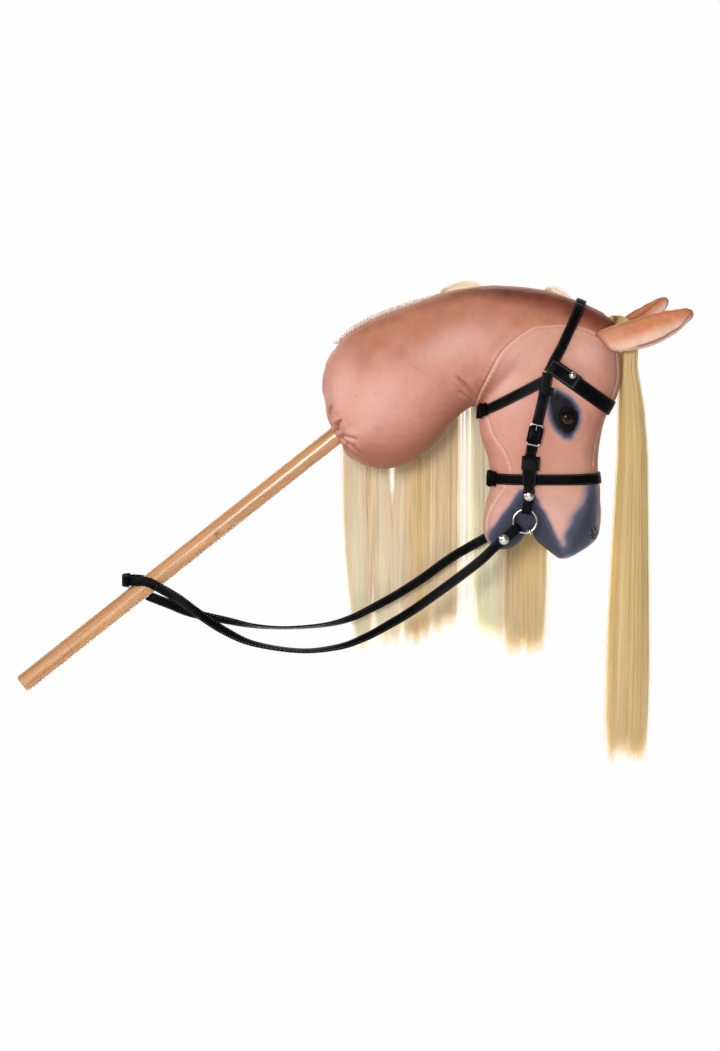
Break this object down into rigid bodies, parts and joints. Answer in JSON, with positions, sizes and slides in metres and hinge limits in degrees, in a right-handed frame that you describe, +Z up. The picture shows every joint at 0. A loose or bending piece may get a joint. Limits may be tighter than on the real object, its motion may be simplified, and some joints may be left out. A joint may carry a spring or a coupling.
{
  "type": "hobby horse",
  "caption": "Stuffed horse head on a sloping wooden stick, with leather bridle, bit rings, hanging reins, ears, long forelock and a mane of straight locks on one side",
  "frame": {"origin": "The middle of the rider's grip, on the stick's axis, 120 mm from the neck and 484 mm from the foot end", "axes": "+X is the way the horse faces, +Z is up, and -Y is the near side. The stick slopes up to the neck at 38.5 degrees, as a rider holds it"},
  "size_m": [1.0127, 0.1671, 0.7132],
  "materials": {
    "wood": "clear satin varnish",
    "coat": "short velour, airbrushed darker along the crest and at the muzzle",
    "ear": "short velour",
    "eye": "high gloss",
    "washer": "plain",
    "cord": "twisted thread",
    "hair": "straight glossy fibre",
    "leather": "semi-gloss, fine grain",
    "steel": "polished nickel"
  },
  "bodies": {
    "horse": {"stick_shaft": "wood", "stick_tenon": "wood", "stick_cross_pin": "wood", "neck_tie": "cord", "neck_body": "coat", "head_body": "coat", "lower_jaw": "coat", "near_ear": "ear", "far_ear": "ear", "near_eye": "eye", "far_eye": "eye", "near_eye_washer": "washer", "far_eye_washer": "washer", "mane_weft": "hair", "headpiece": "leather", "browband": "leather", "throatlash": "leather", "throatlash_runner": "leather", "noseband": "leather", "noseband_runner": "leather", "near_browband_fold": "leather", "far_browband_fold": "leather", "near_browband_stud": "steel", "far_browband_stud": "steel", "near_cheek_strap": "leather", "far_cheek_strap": "leather", "near_cheek_billet": "leather", "far_cheek_billet": "leather", "near_noseband_loop": "leather", "far_noseband_loop": "leather", "near_cheek_runner": "leather", "far_cheek_runner": "leather", "near_cheek_loop": "leather", "far_cheek_loop": "leather", "near_cheek_stud": "steel", "far_cheek_stud": "steel", "near_rein_loop": "leather", "far_rein_loop": "leather", "near_rein_stud": "steel", "far_rein_stud": "steel", "near_buckle_frame": "steel", "far_buckle_frame": "steel", "bit_mouthpiece": "steel", "near_rein": "leather", "far_rein": "leather", "rein_join": "leather", "rein_join_keeper": "leather"},
    "foot_section": {"stick_foot_section": "wood"},
    "near_bit_ring": {"near_bit_ring": "steel"},
    "far_bit_ring": {"far_bit_ring": "steel"},
    "near_buckle_tongue": {"near_buckle_tongue": "steel"},
    "far_buckle_tongue": {"far_buckle_tongue": "steel"},
    "forelock": {"forelock": "hair"},
    "mane_lock_1": {"mane_lock_1": "hair"},
    "mane_lock_2": {"mane_lock_2": "hair"},
    "mane_lock_3": {"mane_lock_3": "hair"},
    "mane_lock_4": {"mane_lock_4": "hair"},
    "mane_lock_5": {"mane_lock_5": "hair"},
    "mane_lock_6": {"mane_lock_6": "hair"}
  },
  "joints": [
    {"name": "foot_section_pull_off", "type": "slide", "parent": "horse", "child": "foot_section", "axis": [-0.7826, 0, -0.6225], "range_m": [0, 0.03]},
    {"name": "near_bit_ring_spin", "type": "hinge", "parent": "horse", "child": "near_bit_ring", "pos_m": [0.3745, -0.05389, -0.051], "axis": [0, 1, 0], "continuous": true},
    {"name": "far_bit_ring_spin", "type": "hinge", "parent": "horse", "child": "far_bit_ring", "pos_m": [0.3745, 0.05391, -0.051], "axis": [0, 1, 0], "continuous": true},
    {"name": "near_buckle_tongue_turn", "type": "hinge", "parent": "horse", "child": "near_buckle_tongue", "pos_m": [0.38851, -0.06932, 0.0787], "axis": [0.9756, -0.0247, -0.2182], "range_deg": [0, 30]},
    {"name": "far_buckle_tongue_turn", "type": "hinge", "parent": "horse", "child": "far_buckle_tongue", "pos_m": [0.38851, 0.06932, 0.0787], "axis": [-0.9756, -0.0247, 0.2182], "range_deg": [0, 30]},
    {"name": "forelock_swing", "type": "hinge", "parent": "horse", "child": "forelock", "pos_m": [0.5125, 0, 0.2485], "axis": [0, -1, 0], "range_deg": [0, 45]},
    {"name": "mane_lock_1_swing", "type": "hinge", "parent": "horse", "child": "mane_lock_1", "pos_m": [0.133, 0.0065, 0.2393], "axis": [0.8699, 0.0516, 0.4905], "range_deg": [0, 40]},
    {"name": "mane_lock_2_swing", "type": "hinge", "parent": "horse", "child": "mane_lock_2", "pos_m": [0.175, 0.0065, 0.2583], "axis": [0.9354, 0.037, 0.3517], "range_deg": [0, 40]},
    {"name": "mane_lock_3_swing", "type": "hinge", "parent": "horse", "child": "mane_lock_3", "pos_m": [0.217, 0.0065, 0.2729], "axis": [0.9442, 0.0344, 0.3276], "range_deg": [0, 40]},
    {"name": "mane_lock_4_swing", "type": "hinge", "parent": "horse", "child": "mane_lock_4", "pos_m": [0.259, 0.0065, 0.2865], "axis": [0.9693, 0.0257, 0.2445], "range_deg": [0, 40]},
    {"name": "mane_lock_5_swing", "type": "hinge", "parent": "horse", "child": "mane_lock_5", "pos_m": [0.327, 0.0065, 0.296], "axis": [0.9999, 0.0015, 0.0138], "range_deg": [0, 40]},
    {"name": "mane_lock_6_swing", "type": "hinge", "parent": "horse", "child": "mane_lock_6", "pos_m": [0.389, 0.0065, 0.2914], "axis": [0.9876, -0.0164, -0.156], "range_deg": [0, 40]}
  ]
}
